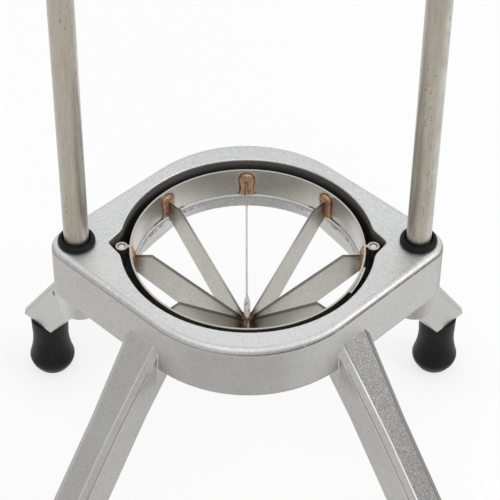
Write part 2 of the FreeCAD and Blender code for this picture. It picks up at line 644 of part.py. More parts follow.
def push_finger(name, number):
    """One wedge of the pusher, between two slots and round the well for the spike."""
    body = doc.addObject("PartDesign::Body", name + "_blank")
    corners = [("0", "pusher_tip"), ("blade_corner", "pusher_rim"), ("pusher_radius", "pusher_rim"),
               ("pusher_radius", "pusher_slot_top"), ("0", "pusher_slot_top")]
    side = outline(body, name + "_outline", "XZ_Plane", corners)
    sector = 360 / BLADES
    feature(body, "Revolution", name + "_sector", side, {}, ReferenceAxis=(side, ["V_Axis"]), Angle=sector)
    body.Placement = Placement(Vector(), Rotation(Vector(0, 0, 1), sector * number))
    tools = [cylinder(name + "_well", "spike_well", "pusher_slot_top - pusher_tip", z="pusher_tip")]
    for step in (number, number + 1):
        angle = math.radians(sector * step)
        across = Vector(math.sin(angle), -math.cos(angle), 0)
        tools.append(part("Box", f"{name}_slot_{step - number}", {
            "Length": "pusher_radius + slot_width", "Width": "slot_width",
            "Height": "pusher_slot_top - pusher_tip",
            **at(f"slot_width / 2 * {across.x:.6f}", f"slot_width / 2 * {across.y:.6f}", "pusher_tip")},
            Rotation(Vector(0, 0, 1), sector * step)))
    return cut(name, body, fuse(name + "_tools", tools))


def thumb_screw(name, side):
    top = "deck_foot + deck_thick"
    place = at(y=side + "thumb_offset", z=top)
    corners = [("0", "-deck_thick - thumb_reach"), ("thumb_shank", "-deck_thick - thumb_reach"),
               ("thumb_shank", "0"), ("thumb_radius", "0"), ("thumb_radius", "thumb_head"),
               ("0", "thumb_head")]
    blank = turned(name + "_blank", corners, place, [(4, "thumb_flute")])
    flutes = []
    for number in range(THUMB_FLUTES):
        turn = f"{360 / THUMB_FLUTES * number:g}"
        reach = "(thumb_radius + thumb_flute / 2)"
        flutes.append(cylinder(f"{name}_flute_{number}", "thumb_flute", "thumb_head",
                               f"{reach} * cos({turn})", f"{side}thumb_offset + {reach} * sin({turn})", top))
    return cut(name, blank, fuse(name + "_flutes", flutes))


nodes = {"base_casting": base_casting()}
for name, x_side, y_side in (("foot_front_left", "-", "-"), ("foot_front_right", "", "-"),
                             ("foot_back_left", "-", ""), ("foot_back_right", "", "")):
    nodes[name] = foot(name, x_side, y_side)
SIDES = (("", "right"), ("-", "left"))
for side, hand in SIDES:
    nodes["guide_rod_" + hand] = guide_rod("guide_rod_" + hand, side)
    nodes["rod_bumper_" + hand] = bumper("rod_bumper_" + hand, side, "plate_height")
    nodes["stop_bumper_" + hand] = bumper("stop_bumper_" + hand, side, "rod_top", upside_down=True)
    nodes["cup_ear_" + hand] = ear("cup_ear_" + hand, side)
    nodes["bushing_lower_" + hand] = bushing("bushing_lower_" + hand, side, upper=False)
    nodes["bushing_upper_" + hand] = bushing("bushing_upper_" + hand, side, upper=True)
nodes["handle_grip_right"] = handle_grip("handle_grip_right", "", 90)
nodes["handle_grip_left"] = handle_grip("handle_grip_left", "-", -90)
nodes["rod_bolts"] = group("rod_bolts", [rod_bolt("rod_bolt_" + hand, side) for side, hand in SIDES])
nodes["rod_washers"] = group("rod_washers", [
    washer("rod_washer_" + hand, "washer_radius", "washer_thick", side, "bolt_seat - washer_thick")
    for side, hand in SIDES])
nodes["stop_washers"] = group("stop_washers", [
    washer("stop_washer_" + hand, "stop_washer_radius", "stop_washer_thick", side, "rod_top")
    for side, hand in SIDES])
nodes["stop_screws"] = group("stop_screws", [cap_screw("stop_screw_" + hand, side) for side, hand in SIDES])
nodes["locating_pins"] = group("locating_pins", [
    cylinder("locating_pin_" + hand, "pin_radius", "strip_height - pin_below_ear", side + "ear_centre",
             z="ledge_top")
    for side, hand in SIDES])
nodes["cup_ring"] = cup_ring()
blades = [blade(f"blade_{number + 1}", 360 / BLADES * number) for number in range(BLADES)]
nodes.update({item.Name: item for item in blades})
nodes["centre_spike"] = turned("centre_spike", [
    ("0", "0"), ("spike_radius", "0"), ("spike_radius", "spike_length - spike_point"), ("0", "spike_length")],
    at(z="spike_foot"))
nodes["braze_joints"] = braze_joints(blades, nodes["centre_spike"])
nodes["crosshead"] = crosshead()
nodes["push_plate"] = push_plate()
for number in range(BLADES):
    nodes[f"push_finger_{number + 1}"] = push_finger(f"push_finger_{number + 1}", number)
nodes["thumb_screw_front"] = thumb_screw("thumb_screw_front", "-")
nodes["thumb_screw_back"] = thumb_screw("thumb_screw_back", "")

for label, item in nodes.items():
    item.Label = label
doc.recompute()
for item in doc.Objects:
    faults = {"Invalid", "Error"}.intersection(item.State)
    if faults:
        raise RuntimeError(f"{item.Name} is {sorted(faults)}")
os.makedirs("parts", exist_ok=True)
for label, item in nodes.items():
    if item.Shape.isNull() or not item.Shape.isValid():
        raise RuntimeError(f"{label} has no sound shape")
    item.Shape.exportStep(f"parts/{label}.step")
print(len(nodes), "nodes")
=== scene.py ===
import math

import bmesh
import bpy
from bpy.props import FloatProperty, FloatVectorProperty, PointerProperty
from mathutils import Matrix, Vector, noise


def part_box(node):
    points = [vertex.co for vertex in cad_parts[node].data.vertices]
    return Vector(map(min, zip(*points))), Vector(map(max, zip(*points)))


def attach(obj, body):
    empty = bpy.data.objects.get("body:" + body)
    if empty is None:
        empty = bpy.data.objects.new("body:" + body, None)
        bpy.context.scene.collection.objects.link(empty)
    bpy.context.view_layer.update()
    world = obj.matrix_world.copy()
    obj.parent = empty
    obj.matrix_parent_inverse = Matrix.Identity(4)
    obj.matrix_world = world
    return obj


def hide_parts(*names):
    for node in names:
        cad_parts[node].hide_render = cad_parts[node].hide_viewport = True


bl_info = {
    "name": "Apple wedger press",
    "version": (1, 0, 0),
    "blender": (4, 5, 0),
    "location": "3D View > Sidebar > Press",
    "description": "Finishes, brazed joints and studio of a hand press that cuts an apple into wedges",
    "category": "Object",
}

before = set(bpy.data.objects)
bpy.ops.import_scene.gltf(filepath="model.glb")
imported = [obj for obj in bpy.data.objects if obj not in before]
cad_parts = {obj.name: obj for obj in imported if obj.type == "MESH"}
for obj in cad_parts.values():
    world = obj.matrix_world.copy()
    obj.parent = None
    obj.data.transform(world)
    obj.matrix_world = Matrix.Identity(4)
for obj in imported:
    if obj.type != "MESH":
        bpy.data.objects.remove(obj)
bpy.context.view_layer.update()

BLADES = 8
HANDS = ("left", "right")

# The base casting: reaches from the middle, heights over the floor and depths under the plate's top
PLATE_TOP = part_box("rod_bumper_left")[0].z
WALL_DEPTH = 0.0300
WALL_DISTANCE = 0.0733
ROD_X = (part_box("guide_rod_right")[0].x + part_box("guide_rod_right")[1].x) / 2
LEG_DROP = 0.0155
LEG_SLOPE = math.radians(35.2)
LEDGE_REACH = 0.0579
LEDGE_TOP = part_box("cup_ring")[0].z
# Painted shade: a small dark spot on the left rear leg
SHADE_SPOT = (-0.1107, 0.0976, 0.0778)

# The blade cup
RING_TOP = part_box("cup_ring")[1].z
RING_RADIUS = -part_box("cup_ring")[0].x
RING_INNER = RING_RADIUS - 0.0010
BEAD_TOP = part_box("braze_joints")[1].z
HUB_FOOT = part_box("braze_joints")[0].z
BLADE_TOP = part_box("blade_1")[1].z
BLADE_CORNER = 0.0480
BLADE_SLOPE = math.radians(43.6)
SPIKE_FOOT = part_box("centre_spike")[0].z

# Just outside a shape, so that its marks cover it: the ear pockets, a rod's boss and the spike
POCKET_REACH = 0.0715
BOSS_REACH = 0.0129
SPIKE_REACH = 0.0023


def colour(name, description, default):
    return FloatVectorProperty(
        name=name, description=description, default=default, size=3, min=0, max=1, subtype="COLOR")


def length(name, description, default):
    return FloatProperty(
        name=name, description=description, default=default, min=0, precision=5, unit="LENGTH")


def amount(name, description, default, top=1.0):
    return FloatProperty(name=name, description=description, default=default, min=0, max=top)


def power(name, description, default):
    return FloatProperty(name=name, description=description, default=default, min=0, unit="POWER")


class PressColours(bpy.types.PropertyGroup):
    """Colours of the press"""

    # The upward colour and the side colour are lit and shaded copies of one aluminium: painted light on
    # what faces up, painted shade on the walls and legs
    cast: colour("Blasted aluminium", "Upward faces of the castings", (0.70, 0.702, 0.705))
    cast_shaded_side: colour("Cast sides", "Walls and legs, left as they were cast", (0.515, 0.51, 0.485))
    cast_cool: colour("Cool casting", "Lower part of the rear legs", (0.575, 0.575, 0.590))
    # Rubbed wear on the edges, and also the colour of painted highlights and painted light on the plate,
    # walls, boss, legs, ridges, recess lip and ledge
    cast_wear_and_highlight: colour("Worn casting", "Edges of the castings, rubbed bright", (0.88, 0.885, 0.89))
    # Also the colour of painted shade on the plate's back, the front walls, the right corner, the rim, the
    # ridges and the legs, besides the dark of grain and dust
    cast_shade: colour("Casting hollows", "Hollows and rough patches", (0.20, 0.198, 0.19))
    # Near black: painted shade deep in the recess, on the right front leg's face and far edge, in the
    # ledge's crease, under the ring and on the dark spot of the left rear leg, and the dark of specks,
    # scabs and the groove
    recess: colour("Recess", "Blackened metal deep in the recess round the cup", (0.040, 0.038, 0.035))
    rod: colour("Rod steel", "Drawn bar of the guide rods", (0.437, 0.404, 0.335))
    # Painted sheen on the side of the rods that faces right, more on the right rod
    rod_sheen: colour("Bare rod", "Brighter side of the guide rods", (0.66, 0.66, 0.65))
    rod_stain: colour("Rod stain", "Dull streaks along the guide rods", (0.27, 0.245, 0.185))
    # A lighter copy of the strip steel: painted light on the ring and its ears; it also lightens the
    # spike's foot
    ring: colour("Ring steel", "Ring of the cup and its ears", (0.70, 0.685, 0.645))
    strip: colour("Strip steel", "Blades of the cup", (0.56, 0.545, 0.505))
    # Dull patches of the strip, and also painted shade on the ring's rim
    strip_shade: colour("Dull strip", "Dull patches of the strip", (0.36, 0.345, 0.305))
    # Ground bevels; the blade strip also lays it as painted shade, heavier on the front blades
    bevel: colour("Ground bevel", "Ground faces along the cutting edges", (0.36, 0.345, 0.325))
    braze: colour("Braze", "Copper brown filler", (0.50, 0.305, 0.19))
    old_braze: colour("Old braze", "Filler at the middle, dull and tan", (0.36, 0.27, 0.18))
    # Heat stain, which on the blades next to the ring also stands for the ring's painted shadow
    burn_and_shade: colour("Burnt steel", "Heat stain round the brazed joints", (0.10, 0.058, 0.032))
    zinc: colour("Zinc", "Bolts, screws, washers and pins", (0.66, 0.67, 0.68))
    rubber: colour("Rubber", "Feet and bumpers", (0.0030, 0.0030, 0.0038))
    bloom: colour("Rubber bloom", "Dull clouds on the rubber", (0.06, 0.06, 0.065))
    nylon: colour("Nylon", "Bushings of the crosshead", (0.64, 0.63, 0.58))
    grip: colour("Grip plastic", "Hand grips", (0.018, 0.018, 0.020))
    pusher: colour("Pusher plastic", "Plate and fingers of the pusher", (0.60, 0.60, 0.575))


class PressSizes(bpy.types.PropertyGroup):
    """Sizes of the finishes and of the brazed joints"""

    cast_grain: length("Casting grain", "Size of the blasted grain on the castings", 0.0008)
    cast_depth: length("Casting grain depth", "Depth of that grain", 0.00009)
    edge: length("Edge width", "Width of the worn edges of the castings", 0.0009)
    ridge: length("Ridge offset", "Outer face of a leg to the ridge along its side", 0.0030)
    ridge_height: length("Ridge height", "Height of that ridge", 0.0003)
    groove: length("Groove depth", "Plate's top to the fine groove along its walls", 0.0027)
    groove_width: length("Groove half width", "Half the width of that groove", 0.00055)
    streak: length("Rod streak", "Width of a streak along a guide rod", 0.00055)
    bead_foot: length("Bead half width", "Half the width of a brazed bead at its foot", 0.0034)
    bead_head: length("Bead head", "Half the width of a bead's round head", 0.0039)
    bead_depth: length("Bead depth", "How far a brazed bead stands off the ring", 0.0015)
    burn_width: length("Burn width", "Width of the dark stain along a bead", 0.0007)
    hub_reach: length("Hub reach", "How far the filler creeps along the blades", 0.0043)
    bevel_width: length("Bevel width", "Width of the ground bevel", 0.0014)


class PressStudio(bpy.types.PropertyGroup):
    """Light of the studio"""

    sky: amount("Sky", "Strength of the light from all round", 0.90, 4)
    key: power("Key lamp", "Power of the lamp in front, above", 7.0)
    side: power("Side lamp", "Power of the lamp at the right", 6.0)
    floor: colour("Floor", "Colour of the floor", (0.90, 0.90, 0.90))
    floor_white: amount("Floor white", "Share of plain white in the floor as it is seen", 0.70)


class Value:
    """The output of a node; arithmetic on it adds Math nodes."""

    def __init__(self, tree, socket):
        self.tree = tree
        self.socket = socket

    def math(self, operation, *values):
        return self.tree.node("ShaderNodeMath", {"operation": operation}, dict(enumerate(values)))

    def __add__(self, other):
        return self.math("ADD", self, other)

    __radd__ = __add__

    def __sub__(self, other):
        return self.math("SUBTRACT", self, other)

    def __rsub__(self, other):
        return self.math("SUBTRACT", other, self)

    def __mul__(self, other):
        return self.math("MULTIPLY", self, other)

    __rmul__ = __mul__

    def __pow__(self, other):
        return self.math("POWER", self, other)

    def __abs__(self):
        return self.math("ABSOLUTE", self)

    def least(self, other):
        return self.math("MINIMUM", self, other)

    def most(self, other):
        return self.math("MAXIMUM", self, other)

    def step(self, low, high):
        """0 below low, 1 above high and smooth between; low may be the larger."""
        return self.tree.node("ShaderNodeMapRange", {"interpolation_type": "SMOOTHSTEP"},
                              {"Value": self, "From Min": low, "From Max": high})

    def bump(self, middle, half_width):
        """1 where the value is middle, falling smoothly to 0 at half_width from it."""
        return abs(self - middle).step(half_width, 0)


class Tree:
    """The node tree of a finish or of the world."""

    def __init__(self, owner):
        owner.use_nodes = True
        self.nodes = owner.node_tree.nodes
        self.links = owner.node_tree.links
        self.nodes.clear()

    def node(self, kind, settings=None, values=None, output=0):
        """Adds a node, sets it, then gives its sockets their numbers or links."""
        node = self.nodes.new(kind)
        for key, setting in (settings or {}).items():
            setattr(node, key, setting)
        for key, value in (values or {}).items():
            self.fill(node.inputs[key], value)
        return Value(self, node.outputs[output]) if node.outputs else None

    def fill(self, socket, value):
        """Gives a socket its number, colour or link."""
        if isinstance(value, Value):
            self.links.new(value.socket, socket)
        else:
            socket.default_value = value

    def axes(self, vector):
        """The x, y and z of a vector."""
        split = self.node("ShaderNodeSeparateXYZ", None, {0: vector}).socket.node
        return [Value(self, socket) for socket in split.outputs]

    def vector(self, x, y, z):
        return self.node("ShaderNodeCombineXYZ", None, {0: x, 1: y, 2: z})

    def scaled(self, vector, factors):
        """A vector with each axis multiplied by its factor."""
        return self.node("ShaderNodeVectorMath", {"operation": "MULTIPLY"}, {0: vector, 1: factors})

    def noise(self, vector, size, detail=2.0, rough=0.5, warp=0.0):
        """Clouds of about this size, in metres, from 0 to 1."""
        return self.node("ShaderNodeTexNoise", None, {
            "Vector": vector, "Scale": 1 / size, "Detail": detail, "Roughness": rough, "Distortion": warp})

    def cells(self, vector, size, feature="F1"):
        """How far the nearest of points scattered about this far apart is, as a share of it."""
        return self.node("ShaderNodeTexVoronoi", {"feature": feature},
                         {"Vector": vector, "Scale": 1 / size})

    def mix(self, factor, first, second):
        """first where factor is 0, second where it is 1."""
        def full(value):
            return value if isinstance(value, Value) else (*value, 1.0)
        return self.node("ShaderNodeMix", {"data_type": "RGBA"},
                         {0: factor, 6: full(first), 7: full(second)}, output=2)

    def height(self, height, depth, normal=None):
        """A normal that shows height, from 0 to 1, as a relief of this depth."""
        values = {"Height": height, "Distance": depth}
        if normal is not None:
            values["Normal"] = normal
        return self.node("ShaderNodeBump", None, values)

    def seen(self):
        """1 for what the camera, a reflection or a clear pane sees."""
        path = self.node("ShaderNodeLightPath").socket.node
        camera, glossy, clear = (Value(self, path.outputs[name]) for name in (
            "Is Camera Ray", "Is Glossy Ray", "Is Transmission Ray"))
        return camera.most(glossy).most(clear)


class Finish(Tree):
    """A material under way, with the colour, roughness and normal that it has so far."""

    def __init__(self, name, base):
        self.material = bpy.data.materials.new(name)
        super().__init__(self.material)
        shader = self.node("ShaderNodeBsdfPrincipled")
        self.shader = shader.socket.node
        self.node("ShaderNodeOutputMaterial", None, {"Surface": shader})
        self.point = self.node("ShaderNodeTexCoord", output="Object")
        self.base = base
        self.rough = 0.5
        self.normal = None

    def facing(self):
        """The surface's direction along x, y and z."""
        return self.axes(self.node("ShaderNodeNewGeometry", output="Normal"))

    def soft_edges(self, radius):
        """(normal rounded over the edges, share of an edge at a point)."""
        rounded = self.node("ShaderNodeBevel", {"samples": 4}, {"Radius": radius})
        plain = self.node("ShaderNodeNewGeometry", output="Normal")
        dot = self.node("ShaderNodeVectorMath", {"operation": "DOT_PRODUCT"}, {0: rounded, 1: plain},
                        output="Value")
        return rounded, (1 - dot).step(0.004, 0.10)

    def tint(self, share, shade):
        """Lays a shade over this share of the colour so far."""
        self.base = self.mix(share, self.base, shade)

    def coat(self, **sockets):
        """Fills the shader's sockets, each named with _ for a space, and returns the material."""
        sockets = {"Base_Color": self.base, "Roughness": self.rough, "Normal": self.normal, **sockets}
        for name, value in sockets.items():
            self.fill(self.shader.inputs[name.replace("_", " ")], value)
        return self.material


def wear(material, *names):
    """Gives CAD nodes this material."""
    for name in names:
        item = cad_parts[name]
        if not item.material_slots:
            item.data.materials.append(material)
        for slot in item.material_slots:
            slot.material = material


def piece(name, mesh, material, body, slot, *stands_for):
    """Adds a smooth piece that rides on a body and stands for CAD nodes."""
    item = bpy.data.objects.new(name, mesh)
    bpy.context.scene.collection.objects.link(item)
    mesh.materials.append(material)
    mesh.polygons.foreach_set("use_smooth", [True] * len(mesh.polygons))
    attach(item, body)
    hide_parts(*stands_for)
    return item


def in_metres(profile):
    """(radius, height) points from millimetres to metres."""
    return [(radius / 1000, height / 1000) for radius, height in profile]


def circle(radius, height, middle, steps):
    """Points of a level circle at a height over middle."""
    turns = (2 * math.pi * step / steps for step in range(steps))
    return [middle + Vector((radius * math.cos(turn), radius * math.sin(turn), height)) for turn in turns]


def tube(rows):
    """Faces between rows of points that go round, with a cap on the first and the last row."""
    work = bmesh.new()
    loops = [[work.verts.new(point) for point in row] for row in rows]
    count = len(loops[0])
    for lower, upper in zip(loops, loops[1:]):
        for number in range(count):
            after = (number + 1) % count
            work.faces.new((lower[number], lower[after], upper[after], upper[number]))
    work.faces.new(reversed(loops[0]))
    work.faces.new(loops[-1])
    return work


def turned(profile, middle, steps=96):
    """A solid turned about an upright axis through middle, from its foot up."""
    return tube([circle(radius, height, middle, steps) for radius, height in profile])


def lathe(profile, middle, steps=96, flip=False):
    """A closed ring turned about an upright axis through middle; flip turns it upside down."""
    work = bmesh.new()
    loops = []
    for step in range(steps):
        angle = 2 * math.pi * step / steps
        loops.append([work.verts.new((
            middle[0] + radius * math.cos(angle), middle[1] + radius * math.sin(angle),
            middle[2] + (-height if flip else height))) for radius, height in profile])
    for step in range(steps):
        here, there = loops[step], loops[(step + 1) % steps]
        for number in range(len(profile)):
            after = (number + 1) % len(profile)
            corners = (here[number], there[number], there[after], here[after])
            work.faces.new(corners if flip else reversed(corners))
    return work


def mesh_of(work, name):
    """Ends the work on a bmesh: its faces point outwards, and it becomes a mesh."""
    bmesh.ops.recalc_face_normals(work, faces=work.faces)
    mesh = bpy.data.meshes.new(name)
    work.to_mesh(mesh)
    work.free()
    return mesh


class Casting(Finish):
    """Blasted aluminium with rubbed edges, with painted light on what faces up and painted shade on its
    sides.
    """

    def __init__(self, name, rough, colours, sizes):
        super().__init__(name, colours.cast_shaded_side)
        self.colours, self.sizes = colours, sizes
        grain = self.noise(self.point, sizes.cast_grain, detail=3, rough=0.7)
        sand = self.noise(self.point, sizes.cast_grain * 2.6, detail=2, rough=0.5)
        cloud = self.noise(self.point, 0.026, detail=3, rough=0.55)
        rounded, self.edge = self.soft_edges(sizes.edge)
        self.facing_x, self.facing_y, self.facing_z = self.facing()
        rubbed = self.edge * (cloud * 1.2 + grain * 0.5).step(0.5, 1.0) * 0.7
        # Painted light on what faces up, over the painted shade of the sides
        self.tint(self.facing_z.step(0.62, 0.80), colours.cast)
        self.tint(grain.step(0.58, 0.34) * 0.24 + sand.step(0.55, 0.35) * 0.10, colours.cast_shade)
        self.tint(cloud.step(0.35, 0.75) * 0.08, colours.cast_wear_and_highlight)
        self.tint(rubbed, colours.cast_wear_and_highlight)
        self.rough = rough + (cloud - 0.5) * 0.12 - rubbed * 0.2
        self.normal = self.height(grain * 0.65 + sand * 0.35, sizes.cast_depth, rounded)


class BaseCasting(Casting):
    """The base's aluminium, with the marks that only the base has, laid on one after the other."""

    def __init__(self, name, rough, colours, sizes):
        super().__init__(name, rough, colours, sizes)
        # Where a point is: its depths, and its reach from the middle straight out and along a diagonal
        self.x, self.y, self.z = self.axes(self.point)
        self.below_top = PLATE_TOP - self.z
        self.below_ledge = LEDGE_TOP - self.z
        self.out = (self.x * self.x + self.y * self.y) ** 0.5
        self.diagonal = (abs(self.x) + abs(self.y)) * math.sqrt(0.5)
        # Patterns and shares, from 0 to 1, that several of the marks use
        self.speck = self.noise(self.point, 0.0010, detail=3, rough=0.75)
        self.dots = self.noise(self.point, 0.00040, detail=3, rough=0.8)
        self.blot = self.noise(self.point, 0.0042, detail=3, rough=0.6)
        self.top = self.below_top.step(0.0004, 0.0001)
        self.right = self.x.step(-0.02, 0.03) * self.y.step(0.02, -0.02)
        self.past_walls = self.diagonal.step(WALL_DISTANCE, WALL_DISTANCE + 0.001)
        self.plate_marks()
        self.wall_marks()
        self.rim_marks()
        self.ridge_marks()
        self.leg_marks()
        self.recess_marks()
        self.ledge_marks()
        self.shade_spot()

    def plate_marks(self):
        """The plate's top: painted light in front and on the left, painted shade behind."""
        x, y, top, colours = self.x, self.y, self.top, self.colours
        self.tint(top * y.step(-0.02, -0.07) * 0.25, colours.cast_wear_and_highlight)
        self.tint(top * y.step(0.03, 0.09) * 0.10, colours.cast_shade)
        self.tint(top * x.step(-0.05, -0.08) * y.step(0.0, -0.02) * 0.25, colours.cast_wear_and_highlight)

    def wall_marks(self):
        """The walls and what is under them: painted shade on the mottled front, painted light on the right
        front walls and the left boss, painted shade on the right corner, and lighter, cooler rear legs.
        """
        x, y, down, colours = self.x, self.y, self.below_top, self.colours
        wall = down.step(0.0025, 0.0045)
        above_foot = down.step(WALL_DEPTH, WALL_DEPTH - 0.002)
        # Painted shade on the front walls, mottled
        front = wall * self.facing_y.step(-0.80, -0.985)
        mottle = self.noise(self.point, 0.011, detail=3, rough=0.6).step(0.44, 0.66)
        self.tint(front * 0.33, colours.cast_shade)
        self.tint(front * mottle * 0.30, colours.strip_shade)
        # Painted light on the walls that face right and front
        lit_front_right = wall * above_foot * (self.facing_x - self.facing_y).step(1.15, 1.38)
        self.tint(lit_front_right * x.step(0.110, 0.098) * 0.16, colours.cast_wear_and_highlight)
        rear_leg = y.step(0.035, 0.045) * down.step(WALL_DEPTH, WALL_DEPTH + 0.003)
        self.tint(rear_leg * 0.13, colours.cast_wear_and_highlight)
        self.tint(rear_leg * down.step(WALL_DEPTH + 0.02, WALL_DEPTH + 0.04) * 0.30, colours.cast_cool)
        # Painted light on the left rod's boss under the wall
        from_rod = ((abs(x) - ROD_X) ** 2 + y * y) ** 0.5
        boss = from_rod.step(BOSS_REACH + 0.0004, BOSS_REACH)
        boss = boss * down.step(WALL_DEPTH - 0.0002, WALL_DEPTH + 0.0006)
        self.tint(boss * x.step(0.02, -0.02) * 0.26, colours.cast_wear_and_highlight)
        # Painted shade on the right corner, damping its highlight
        corner = wall * above_foot * self.facing_x.step(0.70, 0.96) * x.step(ROD_X, ROD_X + 0.002)
        self.tint(corner * 0.36, colours.cast_shade)

    def rim_marks(self):
        """The rounded rim of the plate, specked and rough on the right, with painted shade on its right
        part, in a band under it and where its rounding starts, and the fine groove under it.
        """
        down, right, blot, colours, sizes = self.below_top, self.right, self.blot, self.colours, self.sizes
        outside = self.out.step(POCKET_REACH - 0.0015, POCKET_REACH - 0.0003)
        rim = down.bump(0.0012, 0.0016) * outside * (1 - self.top)
        # Painted shade on the right part of the rim, damping its highlight
        self.tint(rim * right * 0.30, colours.cast_shaded_side)
        self.tint(rim * self.dots.step(0.52, 0.36) * (0.15 + right * 0.55), colours.cast_shade)
        # Painted shade in a band under the rim on the right
        under = down.bump(0.0020, 0.0009) * outside * right
        self.tint(under * (0.60 + blot * 0.35), colours.cast_shade)
        self.rough = self.rough + rim * (0.10 + blot * 0.25) * self.x.step(0.055, 0.020)
        groove = down.bump(sizes.groove, sizes.groove_width * (1.7 - right * 0.8)) * outside
        self.tint(groove * (0.45 + right * 0.2 + blot * 0.4), colours.cast_shade)
        self.tint(groove * right * blot.step(0.34, 0.48) * 0.9, colours.recess)
        # Painted shade where the rim's rounding starts
        crest = self.facing_z.bump(0.982, 0.014) * down.step(0.0012, 0.0008) * outside
        self.tint(crest * (0.35 - right * 0.16), colours.cast_shade)

    def ridge_marks(self):
        """The parting ridge along each side of a leg, with painted shade in a line beside a painted
        highlight.
        """
        drop = PLATE_TOP - LEG_DROP - self.z
        behind = (drop * math.tan(LEG_SLOPE) + WALL_DISTANCE - self.diagonal) * math.cos(LEG_SLOPE)
        on_leg = self.below_top.step(WALL_DEPTH - 0.0025, WALL_DEPTH) * self.past_walls
        # Painted shade on one side of the ridge, painted highlight on the other
        dark = behind.bump(self.sizes.ridge - 0.0004, 0.0004) * on_leg
        bright = behind.bump(self.sizes.ridge + 0.0004, 0.0005) * on_leg
        self.tint(dark * 0.55, self.colours.cast_shade)
        self.tint(bright * 0.35, self.colours.cast_wear_and_highlight)
        self.normal = self.height(bright - dark, self.sizes.ridge_height, self.normal)

    def leg_marks(self):
        """A leg's outer face, coarse on the right, with painted shade on the faces, facets and far edge, a
        painted highlight on the near edge, and painted shade under the walls.
        """
        down, right, dots, colours = self.below_top, self.right, self.dots, self.colours
        facing_out = (abs(self.facing_x) + abs(self.facing_y)) * math.sqrt(0.5)
        facing_side = abs(self.facing_x) - abs(self.facing_y)
        leg = self.diagonal.step(WALL_DISTANCE - 0.0002, WALL_DISTANCE + 0.0001)
        leg = leg * self.facing_z.step(0.30, 0.45) * down.step(LEG_DROP - 0.0010, LEG_DROP - 0.0003)
        face = leg * facing_out.step(0.765, 0.800)
        # Painted shade on the legs' outer faces, deepest on the right front leg, where the specks are also
        # coarsest
        coarse = face * (0.25 + right * 0.75)
        self.tint(face * 0.26 + coarse * 0.46, colours.cast_shade)
        self.tint(face * right * 0.41, colours.recess)
        self.tint(coarse * dots.step(0.49, 0.62) * 0.34, colours.cast_wear_and_highlight)
        self.tint(coarse * dots.step(0.51, 0.38) * 0.45, colours.recess)
        # Painted shade on the facets and sides of the legs other than the right front one
        self.tint(leg * (1 - face) * (1 - right) * 0.14, colours.cast_shade)
        # Painted highlight along the near edge of the outer face, strongest on the right front leg
        highlit_edge = leg * facing_out.bump(0.740, 0.070) * facing_side.step(-0.05, -0.20)
        self.tint(highlit_edge * (0.20 + right * 0.80), colours.cast_wear_and_highlight)
        # Painted shade along the right front leg's far edge
        shaded_far_edge = leg * facing_side.step(0.12, 0.35) * right
        self.tint(shaded_far_edge * 0.55, colours.cast_shade)
        self.tint(shaded_far_edge * 0.35, colours.recess)
        # Painted shade on the legs' sides under the walls
        shaded = (1 - leg) * down.step(WALL_DEPTH + 0.016, WALL_DEPTH + 0.004)
        self.tint(shaded * self.y.step(-0.03, -0.04) * self.past_walls * 0.35, colours.cast_shade)

    def recess_marks(self):
        """The recess round the cup: painted shade, darker with depth, and a painted highlight on its lip.
        """
        down, out = self.below_top, self.out
        recess = out.step(LEDGE_REACH + 0.0004, LEDGE_REACH + 0.0008)
        recess = recess * out.step(POCKET_REACH + 0.0007, POCKET_REACH)
        recess = recess * self.below_ledge.step(0.0006, 0.0002)
        # Painted shade in the recess, darker with depth and less at the front
        dark = recess * down.step(0.0008, 0.0075)
        self.tint(dark * (0.95 - self.y.step(-0.01, -0.05) * 0.38), self.colours.recess)
        self.rough = self.rough + dark * 0.25
        # Painted highlight on the recess's lip
        lip = recess * self.edge * down.step(0.0010, 0.0006)
        self.tint(lip * 0.7, self.colours.cast_wear_and_highlight)

    def ledge_marks(self):
        """The ledge's inner edge: rough and lighter, more so on its flanks, with scabs of old filler on
        both flanks, painted shade in a crease, a painted highlight just under its top and the ring's
        painted shadow at its top.
        """
        down, dots, speck, colours = self.below_ledge, self.dots, self.speck, self.colours
        ledge = self.out.step(LEDGE_REACH + 0.0009, LEDGE_REACH + 0.0005) * down.step(0.0145, 0.0120)
        flank = abs(self.x).step(0.016, 0.036)
        self.tint(ledge * (0.60 + flank * 0.20), colours.cast_wear_and_highlight)
        self.tint(ledge * dots.step(0.56, 0.40) * (0.65 - flank * 0.35), colours.cast_shade)
        scab = self.blot.step(0.44, 0.56) * down.bump(0.0036, 0.0014) * flank
        self.tint(ledge * scab * speck.step(0.64, 0.46) * 0.95, colours.recess)
        # Painted shade in the crease
        self.tint(ledge * down.bump(0.0021, 0.0005) * (0.30 + flank * 0.55), colours.recess)
        self.normal = self.height(ledge * (speck + scab), 0.00020, self.normal)
        # Painted highlight just under the ledge's top
        self.tint(ledge * down.bump(0.0009, 0.0008), colours.cast_wear_and_highlight)
        # Painted shadow of the ring at the ledge's top
        self.tint(ledge * down.bump(0, 0.0004) * 0.8, colours.recess)

    def shade_spot(self):
        """Painted shade: a small dark spot on the left rear leg, longer than it is wide."""
        x, y, z = (axis - place for axis, place in zip((self.x, self.y, self.z), SHADE_SPOT))
        apart = (x ** 2 + y ** 2 + (z * 0.45) ** 2) ** 0.5
        self.tint(apart.step(0.0011, 0.0006) * 0.85, self.colours.recess)


